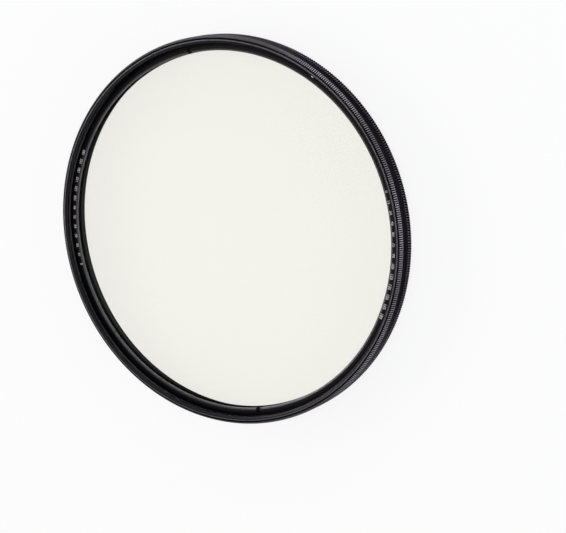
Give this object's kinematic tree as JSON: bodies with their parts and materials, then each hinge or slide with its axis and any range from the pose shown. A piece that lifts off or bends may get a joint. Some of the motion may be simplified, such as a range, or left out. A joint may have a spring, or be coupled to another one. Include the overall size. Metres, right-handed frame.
{
  "type": "circular polarizing filter",
  "caption": "Screw-in circular polarizing camera filter: a knurled front ring with laminated polarizer glass turns freely in a threaded rear ring.",
  "frame": {"origin": "centre of the rear end of the male thread, on the optical axis, on the surface that the filter lies on", "axes": "+Z along the optical axis, out of the front towards the scene; +X and +Y across the filter, with the spanner slots of the glass ring near X"},
  "size_m": [0.0984, 0.0984, 0.0077],
  "materials": {
    "black_anodised_front": "satin black anodised",
    "black_anodised_retainer": "matt black anodised",
    "black_anodised_rear": "satin black anodised",
    "coated_glass": "polished, coated",
    "polarizing_film": "neutral grey film",
    "retarder_film": "clear film",
    "spring_steel": "bright spring strip"
  },
  "bodies": {
    "rear": {"rear_ring": "black_anodised_rear", "snap_ring": "spring_steel"},
    "front": {"front_ring": "black_anodised_front", "glass_retaining_ring": "black_anodised_retainer", "front_glass": "coated_glass", "polarizing_film": "polarizing_film", "quarter_wave_film": "retarder_film", "rear_glass": "coated_glass"}
  },
  "joints": [
    {"name": "front_ring_turn", "type": "hinge", "parent": "rear", "child": "front", "pos_m": [0, 0, 0.004], "axis": [0, 0, 1], "continuous": true}
  ]
}
